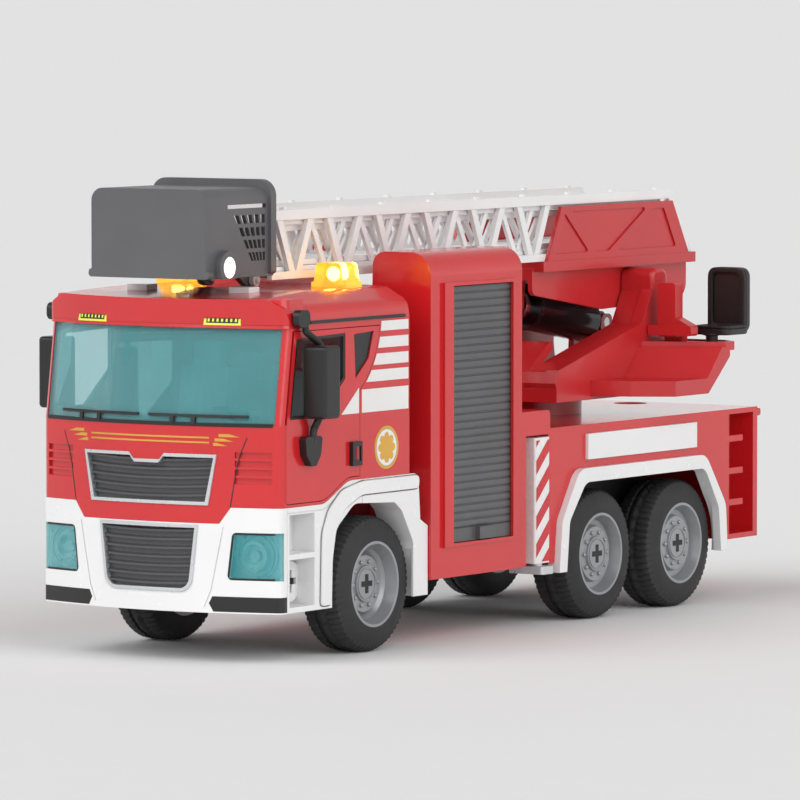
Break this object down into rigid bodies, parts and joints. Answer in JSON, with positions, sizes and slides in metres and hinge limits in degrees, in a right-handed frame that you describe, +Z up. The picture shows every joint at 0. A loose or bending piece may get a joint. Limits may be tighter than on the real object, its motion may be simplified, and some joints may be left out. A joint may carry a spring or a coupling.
{
  "type": "toy fire engine",
  "caption": "Toy ladder fire engine with opening cab doors, roller shutters, outriggers, slewing turret, raising and telescoping ladder and levelling rescue basket.",
  "frame": {"origin": "centre of the toy's bounding box on the ground", "axes": "+Z up, -Y towards the cab's front, +X the truck's left side"},
  "size_m": [0.1888, 0.5216, 0.258],
  "materials": {
    "red_body": "glossy moulded",
    "red_turret": "satin moulded",
    "white_body": "glossy moulded",
    "white_ladder": "satin moulded",
    "grey_basket": "fine texture",
    "lamp_white": "glossy",
    "beacon_amber": "clear amber",
    "marker_amber": "clear amber",
    "screen_tint": "tinted clear plastic",
    "lamp_glass": "tinted clear plastic",
    "silver_plastic": "silver paint",
    "black_plastic": "satin",
    "chassis_black": "matte",
    "interior_grey": "matte",
    "steel_pin": "plain",
    "seat_black": "satin",
    "shutter_grey": "metallic",
    "hazard_white": "glossy with red diagonal stripes on the outer face",
    "ram_dark": "dark mirror",
    "ram_rod": "mirror",
    "rim_grey": "silver paint",
    "tyre": "matte rubber"
  },
  "bodies": {
    "truck": {"chassis_frame": "chassis_black", "cab_shell": "red_body", "cab_roof": "red_body", "roof_pads": "white_body", "beacons": "beacon_amber", "marker_lights": "marker_amber", "windshield": "screen_tint", "wipers": "black_plastic", "grille_frames": "silver_plastic", "grille_louvres": "black_plastic", "front_bumper": "white_body", "headlamp_reflectors": "silver_plastic", "headlamp_lenses": "lamp_glass", "corner_guards": "black_plastic", "front_wings": "white_body", "cab_interior": "interior_grey", "side_cabinets": "red_body", "rear_body": "red_body", "sign_boards": "white_body", "rear_fenders": "white_body", "hinge_pins": "steel_pin", "slewing_post": "red_turret", "shutter_curtain_left": "shutter_grey", "shutter_curtain_right": "shutter_grey"},
    "wheels_front": {"axle_front": "steel_pin", "rims_front": "rim_grey", "tyres_front": "tyre"},
    "wheels_middle": {"axle_middle": "steel_pin", "rims_middle": "rim_grey", "tyres_middle": "tyre"},
    "wheels_rear": {"axle_rear": "steel_pin", "rims_rear": "rim_grey", "tyres_rear": "tyre"},
    "cab_door_left": {"door_left": "red_body", "door_trim_left": "black_plastic", "mirror_left": "black_plastic"},
    "shutter_left": {"shutter_bar_left": "shutter_grey"},
    "leg_left": {"outrigger_left": "hazard_white"},
    "foot_left": {"outrigger_foot_left": "silver_plastic"},
    "cab_door_right": {"door_right": "red_body", "door_trim_right": "black_plastic", "mirror_right": "black_plastic"},
    "shutter_right": {"shutter_bar_right": "shutter_grey"},
    "leg_right": {"outrigger_right": "hazard_white"},
    "foot_right": {"outrigger_foot_right": "silver_plastic"},
    "steering": {"steering_wheel": "black_plastic"},
    "turret": {"turret_frame": "red_turret", "boom_pivot_pin": "steel_pin", "operator_platform": "red_turret", "control_stand": "red_turret", "operator_seat": "seat_black"},
    "ram_tube": {"ram_barrel": "ram_dark"},
    "ram_piston": {"ram_rod": "ram_rod"},
    "boom": {"boom_frame": "red_turret", "boom_panels": "red_turret", "ladder_base": "white_ladder"},
    "middle_ladder": {"ladder_mid": "white_ladder"},
    "top_ladder": {"ladder_fly": "white_ladder"},
    "rescue_basket": {"basket": "grey_basket", "basket_lamps": "lamp_white"}
  },
  "joints": [
    {"name": "front_axle_spin", "type": "hinge", "parent": "truck", "child": "wheels_front", "pos_m": [0, -0.152, 0.03725], "axis": [1, 0, 0], "continuous": true},
    {"name": "middle_axle_spin", "type": "hinge", "parent": "truck", "child": "wheels_middle", "pos_m": [0, 0.0833, 0.03725], "axis": [1, 0, 0], "continuous": true},
    {"name": "rear_axle_spin", "type": "hinge", "parent": "truck", "child": "wheels_rear", "pos_m": [0, 0.1729, 0.03725], "axis": [1, 0, 0], "continuous": true},
    {"name": "door_left_open", "type": "hinge", "parent": "truck", "child": "cab_door_left", "pos_m": [0.0764, -0.2409, 0.1], "axis": [0, 0, -1], "range_deg": [0, 55]},
    {"name": "shutter_left_lift", "type": "slide", "parent": "truck", "child": "shutter_left", "axis": [0, 0, 1], "range_m": [0, 0.125], "deforming": ["shutter_curtain_left"]},
    {"name": "leg_left_out", "type": "slide", "parent": "truck", "child": "leg_left", "axis": [1, 0, 0], "range_m": [0, 0.026]},
    {"name": "foot_left_down", "type": "slide", "parent": "leg_left", "child": "foot_left", "axis": [0, 0, -1], "range_m": [0, 0.031]},
    {"name": "door_right_open", "type": "hinge", "parent": "truck", "child": "cab_door_right", "pos_m": [-0.0764, -0.2409, 0.1], "axis": [0, 0, 1], "range_deg": [0, 55]},
    {"name": "shutter_right_lift", "type": "slide", "parent": "truck", "child": "shutter_right", "axis": [0, 0, 1], "range_m": [0, 0.125], "deforming": ["shutter_curtain_right"]},
    {"name": "leg_right_out", "type": "slide", "parent": "truck", "child": "leg_right", "axis": [-1, 0, 0], "range_m": [0, 0.026]},
    {"name": "foot_right_down", "type": "slide", "parent": "leg_right", "child": "foot_right", "axis": [0, 0, -1], "range_m": [0, 0.031]},
    {"name": "steering_turn", "type": "hinge", "parent": "truck", "child": "steering", "pos_m": [0.0324, -0.222, 0.132], "axis": [0, 0.309, 0.9511], "range_deg": [-180, 180]},
    {"name": "turret_swing", "type": "hinge", "parent": "truck", "child": "turret", "pos_m": [0, 0.136, 0.123], "axis": [0, 0, 1], "range_deg": [-1.5, 1.5]},
    {"name": "boom_raise", "type": "hinge", "parent": "turret", "child": "boom", "pos_m": [0, 0.192, 0.186], "axis": [-1, 0, 0], "range_deg": [0, 60]},
    {"name": "ram_tilt", "type": "hinge", "parent": "turret", "child": "ram_tube", "pos_m": [0, 0.196, 0.163], "axis": [-1, 0, 0], "range_deg": [0, 52]},
    {"name": "ram_extend", "type": "slide", "parent": "ram_tube", "child": "ram_piston", "axis": [0, -0.988, 0.1544], "range_m": [0, 0.018]},
    {"name": "ladder_mid_extend", "type": "slide", "parent": "boom", "child": "middle_ladder", "axis": [0, -1, 0], "range_m": [0, 0.28]},
    {"name": "ladder_fly_extend", "type": "slide", "parent": "middle_ladder", "child": "top_ladder", "axis": [0, -1, 0], "range_m": [0, 0.28]},
    {"name": "basket_level", "type": "hinge", "parent": "top_ladder", "child": "rescue_basket", "pos_m": [0, -0.182, 0.2026], "axis": [1, 0, 0], "range_deg": [0, 60]}
  ],
  "couplings": [
    {"joint": "ram_tilt", "follows": "boom_raise", "ratio": 0.8523},
    {"joint": "ram_extend", "follows": "boom_raise", "m_per_rad": 0.016},
    {"joint": "ladder_fly_extend", "follows": "ladder_mid_extend", "ratio": 1},
    {"joint": "basket_level", "follows": "boom_raise", "ratio": 1}
  ]
}
